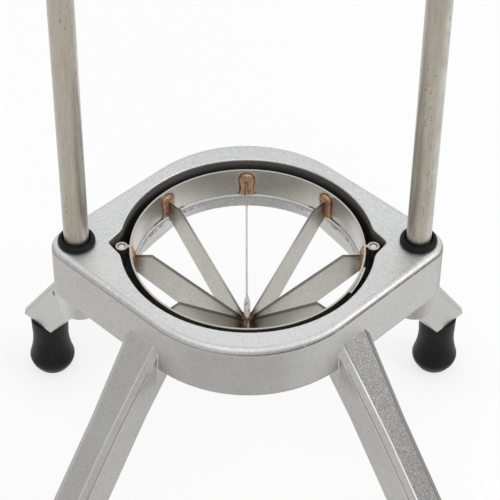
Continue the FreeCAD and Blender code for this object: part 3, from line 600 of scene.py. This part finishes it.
def rod_steel(colours, sizes):
    """Drawn bar with dull streaks, cracks and small pits along its length, and a painted sheen on the side
    that faces right.
    """
    skin = Finish("Drawn rod steel", colours.rod)
    point = skin.point

    def along(share):
        """Places for a pattern that is drawn out along the rod."""
        return skin.scaled(point, (1, 1, share))

    streak = skin.noise(along(0.04), sizes.streak, detail=4, rough=0.7)
    band = skin.noise(along(0.08), 0.0040, detail=3, rough=0.6)
    cloud = skin.noise(point, 0.03, detail=3, rough=0.6)
    fine = skin.noise(point, 0.0006, detail=3, rough=0.7)
    stain = (streak.step(0.40, 0.66) * 0.50 + band.step(0.42, 0.66) * 0.45) * (0.5 + cloud * 0.8)
    pit = skin.cells(along(0.40), 0.0013).step(0.30, 0.16)
    pit = pit * skin.noise(along(0.07), 0.0045).step(0.54, 0.62)
    crack = skin.noise(along(0.05), 0.0042, detail=4, rough=0.65, warp=0.25).bump(0.50, 0.014)
    crack = crack * skin.noise(point, 0.020, detail=2, rough=0.6).step(0.46, 0.60)
    rings = skin.noise(skin.scaled(point, (0.12, 0.12, 1)), 0.0009, detail=2, rough=0.6)
    patch = skin.noise(point, 0.016).step(0.42, 0.62)
    # Painted sheen: lighter in patches on the side that faces right, more on the right rod
    lit_side = skin.facing()[0] + skin.axes(point)[0].step(-0.01, 0.01) * 0.30
    sheen = lit_side.step(0.50, 1.05) * (0.15 + cloud.step(0.42, 0.62) * 0.6)
    skin.tint(stain * 0.62, colours.rod_stain)
    skin.tint(sheen * 0.8, colours.rod_sheen)
    skin.tint(crack * 0.45, colours.burn_and_shade)
    skin.tint(rings.step(0.56, 0.40) * patch * 0.13, colours.rod_stain)
    skin.tint(fine.step(0.52, 0.36) * 0.16, colours.rod_stain)
    skin.tint(pit * 0.60, colours.burn_and_shade)
    skin.rough = 0.38 + stain * 0.14 + pit * 0.2 + (fine - 0.5) * 0.10
    skin.normal = skin.height(streak * 0.5 + rings * patch * 0.5 + fine * 0.5 - pit, 0.00003)
    return skin.coat(Metallic=1.0, Coat_Weight=0.8, Coat_Roughness=0.22)


class Strip(Finish):
    """Rolled strip with dull clouds and specks."""

    def __init__(self, name, clean, dull, colours):
        super().__init__(name, clean)
        self.x, self.y, self.z = self.axes(self.point)
        self.out = (self.x * self.x + self.y * self.y) ** 0.5
        self.cloud = self.noise(self.point, 0.009, detail=3, rough=0.6)
        self.speck = self.noise(self.point, 0.0010, detail=3, rough=0.7)
        self.tint(self.speck.step(0.62, 0.38) * dull, colours.strip_shade)
        self.tint(self.cloud.step(0.35, 0.75) * 0.22, colours.strip_shade)


def blade_strip(colours, sizes):
    """Strip of the blades and the spike: ground bevels with painted shade, heavier on the front blades,
    heat stain at both ends of a blade, and the ring's painted shadow on the blades next to it.
    """
    skin = Strip("Blade strip", colours.strip, 0.45, colours)
    out, z, cloud, point = skin.out, skin.z, skin.cloud, skin.point
    dip = BLADE_TOP - BLADE_CORNER * math.tan(BLADE_SLOPE)
    below_edge = (dip + out * math.tan(BLADE_SLOPE) - z) * math.cos(BLADE_SLOPE)
    ground = below_edge.step(sizes.bevel_width + 0.0002, sizes.bevel_width)
    ground = ground * out.step(BLADE_CORNER, BLADE_CORNER - 0.0002)
    # Painted shade on the ground bevels, heavier on the front blades than on the back ones
    skin.tint(ground * (0.8 - skin.y.step(0.001, 0.005) * 0.55), colours.bevel)
    top = z.step(BLADE_TOP - 0.0011, BLADE_TOP - 0.0004)
    # Next to the ring: copper tint and heat stain, which also stand for the ring's painted shadow on the
    # blades
    near_ring = out.step(BLADE_CORNER - 0.004, BLADE_CORNER + 0.009) * (0.35 + cloud * 0.6)
    skin.tint(near_ring * (0.20 + top * 0.80), colours.braze)
    at_ring = out.step(BLADE_CORNER + 0.002, BLADE_CORNER + 0.008)
    skin.tint(at_ring * (0.40 + cloud.step(0.35, 0.6) * 0.4), colours.burn_and_shade)
    at_hub = out.step(0.0095, 0.0045) * z.step(SPIKE_FOOT + 0.003, SPIKE_FOOT)
    skin.tint(at_hub * (cloud.step(0.3, 0.6) * 0.6 + 0.3), colours.burn_and_shade)
    on_spike = out.step(SPIKE_REACH + 0.0003, SPIKE_REACH)
    on_spike = on_spike * z.step(SPIKE_FOOT - 0.0005, SPIKE_FOOT + 0.0015)
    skin.tint(on_spike * 0.6, colours.ring)
    skin.tint(on_spike * skin.cells(point, 0.0019).step(0.34, 0.22) * 0.8, colours.burn_and_shade)
    rust = skin.cells(point, 0.0042).step(0.13, 0.07) * cloud.step(0.42, 0.58)
    skin.tint(rust * 0.5, colours.old_braze)
    skin.rough = 0.36 + (skin.speck - 0.5) * 0.2 - ground * 0.06
    skin.normal = skin.height(skin.speck, 0.00002)
    return skin.coat(Metallic=1.0)


def ring_strip(colours, sizes):
    """Strip of the ring and its ears: heat stain round each bead, painted shade on its rim, darker higher
    up inside, and fine rolling marks.
    """
    skin = Strip("Ring strip", colours.ring, 0.24, colours)
    out, z = skin.out, skin.z
    angle = skin.y.math("ARCTAN2", skin.y, skin.x)
    sector = 2 * math.pi / BLADES
    off_blade = angle.math("PINGPONG", angle + BLADES * sector, sector / 2)
    rolled = skin.noise(skin.vector(out, angle * RING_RADIUS * 0.05, z), 0.0005)
    inside = out.step(RING_RADIUS - 0.0003, RING_RADIUS - 0.0008)
    ripple = skin.noise(skin.point, 0.0025) - 0.5
    above_head = (z - (BEAD_TOP - sizes.bead_head)).most(0.0)
    swell = z.step(LEDGE_TOP + 0.0062, LEDGE_TOP + 0.0095)
    half = sizes.bead_foot + swell * (sizes.bead_head - sizes.bead_foot) + ripple * 0.0012
    off_bead = (above_head * above_head + (off_blade * RING_RADIUS) ** 2) ** 0.5 - half
    tan = off_bead.step(0.0022, 0.0004) * inside
    skin.tint(tan * 0.55, colours.braze)
    border = off_bead.step(sizes.burn_width * 1.3, sizes.burn_width * 0.5) * inside
    skin.tint(border * 0.85, colours.burn_and_shade)
    low = z.step(LEDGE_TOP + 0.0022, LEDGE_TOP + 0.0004) * inside * off_bead.step(0.004, 0.0)
    skin.tint(low * 0.6, colours.burn_and_shade)
    high = z.step(LEDGE_TOP + 0.0050, RING_TOP) * inside
    skin.tint(high * 0.15, colours.strip_shade)
    # Painted shade on the rim, damping its highlight
    rim = z.step(RING_TOP - 0.0005, RING_TOP - 0.0002)
    skin.tint(rim * 0.5, colours.strip_shade)
    skin.rough = 0.30 + (rolled - 0.5) * 0.12 + tan * 0.2
    skin.normal = skin.height(rolled + skin.speck * 0.2, 0.000015)
    return skin.coat(Metallic=1.0)


def braze_metal(colours):
    """Copper brown filler, burnt in its hollows and duller at the middle of the cup."""
    skin = Finish("Braze", colours.braze)
    cloud = skin.noise(skin.point, 0.0028, detail=3, rough=0.6)
    crust = skin.cells(skin.point, 0.0011, "SMOOTH_F1")
    x, y, _ = skin.axes(skin.point)
    hub = ((x * x + y * y) ** 0.5).step(0.012, 0.006)
    burnt = cloud.step(0.50, 0.72) * 0.8 + crust.step(0.45, 0.8) * 0.3 + hub * cloud.step(0.30, 0.60) * 0.7
    skin.tint(hub * 0.85, colours.old_braze)
    skin.tint(burnt.least(1.0), colours.burn_and_shade)
    skin.rough = 0.46 + burnt * 0.25
    skin.normal = skin.height(cloud + crust * 0.5, 0.0003)
    return skin.coat(Metallic=0.85)


def zinc_plate(colours):
    """Dull grey zinc, brighter on its edges."""
    skin = Finish("Zinc plate", colours.zinc)
    cloud = skin.noise(skin.point, 0.004, detail=3, rough=0.6)
    fine = skin.noise(skin.point, 0.0006)
    rounded, edge = skin.soft_edges(0.0004)
    skin.tint(cloud.step(0.35, 0.8) * 0.3, colours.cast_shade)
    skin.tint(edge * 0.6, colours.cast_wear_and_highlight)
    skin.rough = 0.28 + (cloud - 0.5) * 0.2
    skin.normal = skin.height(fine, 0.00002, rounded)
    return skin.coat(Metallic=1.0)


def moulded_rubber(colours):
    """Black rubber with a dull bloom and small grains of dust."""
    skin = Finish("Moulded rubber", colours.rubber)
    cloud = skin.noise(skin.point, 0.007, detail=3, rough=0.6)
    fine = skin.noise(skin.point, 0.0005, detail=2, rough=0.6)
    dust = skin.cells(skin.point, 0.011).step(0.042, 0.022)
    skin.tint(cloud.step(0.4, 0.8) * 0.12, colours.bloom)
    skin.tint(dust * 0.7, colours.cast_shade)
    skin.rough = 0.42 + (cloud - 0.5) * 0.25 + (fine - 0.5) * 0.1
    skin.normal = skin.height(fine + cloud, 0.00005)
    return skin.coat(Specular_IOR_Level=0.15)


def moulded_plastic(name, shade, rough, grain, depth):
    """Plastic with a moulded texture of this grain and depth, smoother and lighter on its edges."""
    skin = Finish(name, shade)
    cloud = skin.noise(skin.point, 0.02, detail=3, rough=0.6)
    texture = skin.cells(skin.point, grain, "SMOOTH_F1")
    rounded, edge = skin.soft_edges(0.0006)
    lighter = [min(1.0, channel * 1.25 + 0.01) for channel in shade]
    skin.tint(cloud.step(0.3, 0.8) * 0.5 + edge * 0.4, lighter)
    skin.rough = rough + (cloud - 0.5) * 0.15 - edge * 0.1
    skin.normal = skin.height(texture, depth, rounded)
    return skin.coat(Specular_IOR_Level=0.5)


class PRESS_OT_castings(bpy.types.Operator):
    """Give the base and the crosshead their blasted aluminium"""

    bl_idname = "press.castings"
    bl_label = "Castings"

    BASE_ROUGH, CROSSHEAD_ROUGH = 0.45, 0.62

    def execute(self, context):
        colours, sizes = context.scene.press_colours, context.scene.press_sizes
        base = BaseCasting("Cast base", self.BASE_ROUGH, colours, sizes)
        crosshead = Casting("Cast crosshead", self.CROSSHEAD_ROUGH, colours, sizes)
        wear(base.coat(Metallic=1.0), "base_casting")
        wear(crosshead.coat(Metallic=1.0), "crosshead")
        return {"FINISHED"}


class PRESS_OT_rods(bpy.types.Operator):
    """Give the guide rods their drawn steel"""

    bl_idname = "press.rods"
    bl_label = "Guide rods"

    def execute(self, context):
        steel = rod_steel(context.scene.press_colours, context.scene.press_sizes)
        wear(steel, *(f"guide_rod_{hand}" for hand in HANDS))
        return {"FINISHED"}


class PRESS_OT_blade_cup(bpy.types.Operator):
    """Give the ring, its ears and the blades their strip steel, and turn the pointed spike"""

    bl_idname = "press.blade_cup"
    bl_label = "Blade cup"

    # (radius, height over the spike's foot) of its outline, in millimetres
    SPIKE = ((1.55, -2.4), (1.68, -2.2), (1.70, 0.0), (1.70, 5.0), (1.69, 8.6), (1.64, 9.8), (1.48, 11.0),
             (1.22, 12.3), (0.88, 13.7), (0.50, 15.1), (0.20, 16.1), (0.04, 16.4))

    def execute(self, context):
        colours, sizes = context.scene.press_colours, context.scene.press_sizes
        wear(ring_strip(colours, sizes), "cup_ring", "cup_ear_left", "cup_ear_right")
        steel = blade_strip(colours, sizes)
        wear(steel, *(f"blade_{number + 1}" for number in range(BLADES)))
        spike = turned(in_metres(self.SPIKE), Vector((0, 0, SPIKE_FOOT)), steps=32)
        piece("spike_point", mesh_of(spike, "spike_point"), steel, "stand", "blade_steel", "centre_spike")
        return {"FINISHED"}


class PRESS_OT_brazing(bpy.types.Operator):
    """Lay the lumpy beads of filler between the blades, the ring and the spike"""

    bl_idname = "press.brazing"
    bl_label = "Brazed joints"

    ROWS = 34
    BEAD_COLUMNS, HUB_COLUMNS = 24, 128
    # A bead: its foot over the ledge, how far its back sinks into the ring, how uneven its width and
    # its depth are as shares of them, how far it leans sideways, and its crust's roughness and grain
    BEAD_LIFT, SINK = 0.0002, 0.0006
    UNEVEN_WIDTH, UNEVEN_DEPTH, LEAN = 0.13, 0.25, 0.0005
    CRUST, CRUST_GRAIN = 0.0002, 1 / 750
    # The fold over a blade's top edge: its start over the bead's foot, its fade and its height
    FOLD_START, FOLD_FADE, FOLD_HEIGHT = 0.0095, 0.0015, 0.0006
    # The hub: its top under the spike's foot, its core, how far it stands off that between the blades,
    # its rise along them, and its lumps
    HUB_DROP, CORE, FILLET, RISE, HUB_LUMP = 0.0012, 0.0020, 0.0008, 0.0026, 0.0006

    def execute(self, context):
        sizes = context.scene.press_sizes
        work = bmesh.new()
        for number in range(BLADES):
            self.merge(work, self.bead(2 * math.pi * number / BLADES, sizes, number))
        self.merge(work, self.hub(sizes))
        metal = braze_metal(context.scene.press_colours)
        piece("braze_filler", mesh_of(work, "braze_filler"), metal, "stand", "braze", "braze_joints")
        return {"FINISHED"}

    @staticmethod
    def merge(work, other):
        mesh = bpy.data.meshes.new("part")
        other.to_mesh(mesh)
        other.free()
        work.from_mesh(mesh)
        bpy.data.meshes.remove(mesh)

    @staticmethod
    def lump(place):
        """Smooth unevenness from about -1 to 1."""
        return noise.noise(Vector(place))

    @staticmethod
    def share_of(value, start, span):
        """How far value is from start to start + span, from 0 to 1."""
        return max(0.0, min(1.0, (value - start) / span))

    def bead_width(self, share, sizes):
        """Half the width of a bead at a share of its height: a slim waist and a wider round head."""
        foot = self.share_of(share, 0.25, -0.25)
        head = self.share_of(share, 0.45, 0.25)
        return sizes.bead_foot * (1 + 0.12 * foot) + (sizes.bead_head - sizes.bead_foot) * head

    def bead(self, angle, sizes, seed):
        """One bead on the inside of the ring, where a blade meets it; its rows crowd towards its head."""
        foot = LEDGE_TOP + self.BEAD_LIFT
        tall = BEAD_TOP - foot
        loops = []
        for row in range(self.ROWS + 1):
            share = 1 - (1 - row / self.ROWS) ** 1.4
            high = share * tall
            round_head = (1 - self.share_of(high, tall - sizes.bead_head, sizes.bead_head) ** 2) ** 0.5
            swell = self.lump((share * 3.4, seed * 7.3, 0.5))
            lean = self.LEAN * self.lump((share * 2.2, seed * 3.1, 8.5))
            width = self.bead_width(share, sizes) * (1 + self.UNEVEN_WIDTH * swell)
            width = width * max(round_head, 0.10)
            depth = sizes.bead_depth * (1 + self.UNEVEN_DEPTH * swell) * max(round_head ** 0.6, 0.08)
            fold = self.FOLD_HEIGHT * self.share_of(high, self.FOLD_START, self.FOLD_FADE) * round_head
            loop = []
            for column in range(self.BEAD_COLUMNS):
                turn = 2 * math.pi * column / self.BEAD_COLUMNS
                across, out = math.cos(turn) * width + lean, math.sin(turn)
                inward = depth * out ** 0.8 if out > 0 else self.SINK * out
                place = Vector((across, inward, high)) / self.CRUST_GRAIN
                crust = self.CRUST * self.lump(place + Vector((seed * 5.0, 0, 0)))
                if out > 0:
                    inward += fold * math.exp(-(math.cos(turn) * 5) ** 2)
                reach = RING_INNER - inward - crust
                way = angle + across / RING_INNER
                loop.append((reach * math.cos(way), reach * math.sin(way), foot + high))
            loops.append(loop)
        return tube(loops)

    def hub(self, sizes):
        """The filler at the middle: lumps fill the corners and creep along the blades."""
        tall = SPIKE_FOOT - self.HUB_DROP - HUB_FOOT
        loops = []
        for row in range(self.ROWS + 1):
            share = row / self.ROWS
            head = max(0.0, 1 - ((share - 0.80) / 0.21) ** 2) ** 0.5
            loop = []
            for column in range(self.HUB_COLUMNS):
                turn = 2 * math.pi * column / self.HUB_COLUMNS
                x, y = math.cos(turn), math.sin(turn)
                creep = abs(math.cos(turn * BLADES / 2)) ** 5
                swell = self.lump(Vector((x, y, share * 4)) * 2.3)
                fine = self.lump(Vector((x, y, share * 9)) * 6.0)
                stand_off = self.FILLET + (sizes.hub_reach - self.CORE - self.FILLET) * creep
                reach = self.CORE + self.CRUST * fine + head * stand_off * (1 + 0.7 * swell)
                lift = share * self.RISE * creep + head * self.HUB_LUMP * swell
                loop.append((reach * x, reach * y, HUB_FOOT + share * tall + lift))
            loops.append(loop)
        return tube(loops)


class PRESS_OT_rubber(bpy.types.Operator):
    """Mould the rubber tips of the legs and the grommets round the rods"""

    bl_idname = "press.rubber"
    bl_label = "Feet and bumpers"

    # (radius, height) of the outlines, in millimetres: a grommet's whole section, and a tip from inside
    # its hollow to the middle of its tread
    GROMMET = ((6.40, 0.0), (9.30, 0.0), (9.50, 0.35), (9.50, 1.30), (9.28, 2.25), (8.75, 2.95),
               (8.10, 3.32), (7.55, 3.40), (7.20, 3.20), (7.02, 2.75), (6.92, 2.20), (6.72, 1.90),
               (6.40, 1.80))
    TIP = ((7.60, 16.50), (7.60, 40.65), (7.75, 40.80), (10.80, 40.80), (11.05, 40.72), (11.15, 40.45),
           (11.12, 39.0), (10.95, 33.0), (10.76, 29.0), (10.72, 26.5), (10.84, 23.8), (11.12, 21.0),
           (11.55, 18.2), (12.10, 15.4), (12.72, 12.9), (13.22, 11.2), (13.46, 10.0), (13.50, 9.2),
           (13.40, 8.1), (12.98, 6.5), (12.34, 4.95), (12.06, 4.80), (11.96, 4.50), (11.20, 3.10),
           (10.10, 1.5), (9.05, 0.60), (8.25, 0.12), (7.60, 0.0))

    def execute(self, context):
        black = moulded_rubber(context.scene.press_colours)
        for node in (f"foot_{end}_{hand}" for end in ("front", "back") for hand in HANDS):
            low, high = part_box(node)
            middle = Vector(((low.x + high.x) / 2, (low.y + high.y) / 2, low.z))
            name = node.replace("foot", "rubber_tip")
            tip = turned(in_metres(self.TIP), middle)
            piece(name, mesh_of(tip, name), black, "stand", "black_rubber", node)
        for kind, flip in (("rod_bumper", False), ("stop_bumper", True)):
            for hand in HANDS:
                node = f"{kind}_{hand}"
                low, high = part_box(node)
                middle = ((low.x + high.x) / 2, (low.y + high.y) / 2, high.z if flip else low.z)
                name = node.replace("bumper", "grommet")
                grommet = lathe(in_metres(self.GROMMET), middle, flip=flip)
                piece(name, mesh_of(grommet, name), black, "stand", "black_rubber", node)
        return {"FINISHED"}


class PRESS_OT_fixings(bpy.types.Operator):
    """Give the bolts, screws, washers and pins their zinc"""

    bl_idname = "press.fixings"
    bl_label = "Fixings"

    def execute(self, context):
        wear(zinc_plate(context.scene.press_colours), "rod_bolts", "rod_washers", "stop_washers",
             "stop_screws", "locating_pins", "thumb_screw_front", "thumb_screw_back")
        return {"FINISHED"}


class PRESS_OT_head(bpy.types.Operator):
    """Give the bushings, the grips and the pusher their plastics"""

    bl_idname = "press.head"
    bl_label = "Plastics of the head"

    def execute(self, context):
        colours = context.scene.press_colours
        wear(moulded_plastic("Turned nylon", colours.nylon, rough=0.5, grain=0.0008, depth=0.00002),
             *(f"bushing_{end}_{hand}" for end in ("lower", "upper") for hand in HANDS))
        wear(moulded_plastic("Grip plastic", colours.grip, rough=0.5, grain=0.0013, depth=0.00018),
             *(f"handle_grip_{hand}" for hand in HANDS))
        wear(moulded_plastic("Pusher plastic", colours.pusher, rough=0.42, grain=0.0016, depth=0.00005),
             "push_plate", *(f"push_finger_{number + 1}" for number in range(BLADES)))
        return {"FINISHED"}


class PRESS_OT_studio(bpy.types.Operator):
    """Set up the floor, the white surroundings, the lamps and the camera"""

    bl_idname = "press.studio"
    bl_label = "Studio"

    FLOOR_REACH = 9.0
    KEY_PLACE, KEY_TARGET, KEY_SIZE = (-0.15, -1.20, 1.75), (0, 0, 0.15), 1.1
    SIDE_PLACE, SIDE_TARGET, SIDE_SIZE = (1.30, -0.42, 0.86), (0, 0, 0.18), 0.6
    # The camera's turn about the press, its tilt down and its roll, in degrees, and its lens in millimetres
    TURN, TILT, ROLL = -0.982, 42.724, 0.650
    VIEW_PLACE = (-0.011492, -0.740171, PLATE_TOP + 0.677948)
    LENS, SENSOR = 144.15, 36

    def execute(self, context):
        studio = context.scene.press_studio
        context.scene.view_settings.view_transform = "Standard"
        self.sky(context, studio)
        self.floor(studio)
        self.lamp("Key", self.KEY_PLACE, self.KEY_TARGET, self.KEY_SIZE, studio.key)
        self.lamp("Side", self.SIDE_PLACE, self.SIDE_TARGET, self.SIDE_SIZE, studio.side)
        self.camera(context)
        return {"FINISHED"}

    @staticmethod
    def sky(context, studio):
        world = bpy.data.worlds.new("Studio")
        context.scene.world = world
        tree = Tree(world)
        light = tree.node("ShaderNodeBackground", None, {
            "Color": (1, 1, 1, 1), "Strength": studio.sky + tree.seen() * (1 - studio.sky)})
        tree.node("ShaderNodeOutputWorld", None, {"Surface": light})

    def floor(self, studio):
        side = self.FLOOR_REACH
        mesh = bpy.data.meshes.new("floor")
        mesh.from_pydata([(-side, -side, 0), (side, -side, 0), (side, side, 0), (-side, side, 0)],
                         [], [(0, 1, 2, 3)])
        item = bpy.data.objects.new("floor", mesh)
        bpy.context.scene.collection.objects.link(item)
        material = bpy.data.materials.new("Pale floor")
        tree = Tree(material)
        matt = tree.node("ShaderNodeBsdfDiffuse", None, {"Color": (*studio.floor, 1)})
        white = tree.node("ShaderNodeEmission", None, {"Color": (1, 1, 1, 1), "Strength": 1.0})
        white_share = tree.seen() * studio.floor_white
        both = tree.node("ShaderNodeMixShader", None, {0: white_share, 1: matt, 2: white})
        tree.node("ShaderNodeOutputMaterial", None, {"Surface": both})
        mesh.materials.append(material)

    @staticmethod
    def lamp(name, place, target, size, power):
        light = bpy.data.lights.new(name, "AREA")
        light.shape = "DISK"
        light.size = size
        light.energy = power
        item = bpy.data.objects.new(name, light)
        item.location = place
        item.rotation_euler = (Vector(target) - Vector(place)).to_track_quat("-Z", "Y").to_euler()
        bpy.context.scene.collection.objects.link(item)

    def camera(self, context):
        turn, tilt, roll = (math.radians(angle) for angle in (self.TURN, self.TILT, self.ROLL))
        back = Vector((math.sin(turn) * math.cos(tilt), -math.cos(turn) * math.cos(tilt), math.sin(tilt)))
        right = (-back).cross(Vector((0, 0, 1))).normalized()
        up = back.cross(right)
        across = right * math.cos(roll) + up * math.sin(roll)
        upward = up * math.cos(roll) - right * math.sin(roll)
        lens = bpy.data.cameras.new("View")
        lens.lens = self.LENS
        lens.sensor_width = self.SENSOR
        item = bpy.data.objects.new("View", lens)
        facing = Matrix((across, upward, back)).transposed()
        item.matrix_world = Matrix.Translation(self.VIEW_PLACE) @ facing.to_4x4()
        context.scene.collection.objects.link(item)
        context.scene.camera = item


class PRESS_PT_sidebar(bpy.types.Panel):
    """Steps that dress the press, in order"""

    bl_idname = "PRESS_PT_sidebar"
    bl_label = "Apple wedger press"
    bl_space_type = "VIEW_3D"
    bl_region_type = "UI"
    bl_category = "Press"

    def draw(self, context):
        for step in STEPS:
            self.layout.operator(step.bl_idname)


STEPS = (PRESS_OT_castings, PRESS_OT_rods, PRESS_OT_blade_cup, PRESS_OT_brazing, PRESS_OT_rubber,
         PRESS_OT_fixings, PRESS_OT_head, PRESS_OT_studio)
GROUPS = {"press_colours": PressColours, "press_sizes": PressSizes, "press_studio": PressStudio}
CLASSES = (*GROUPS.values(), *STEPS, PRESS_PT_sidebar)


def register():
    for item in CLASSES:
        bpy.utils.register_class(item)
    for name, group in GROUPS.items():
        setattr(bpy.types.Scene, name, PointerProperty(type=group))


def unregister():
    for name in GROUPS:
        delattr(bpy.types.Scene, name)
    for item in reversed(CLASSES):
        bpy.utils.unregister_class(item)


def main():
    register()
    for step in STEPS:
        group, name = step.bl_idname.split(".")
        getattr(getattr(bpy.ops, group), name)()


if __name__ == "__main__":
    main()
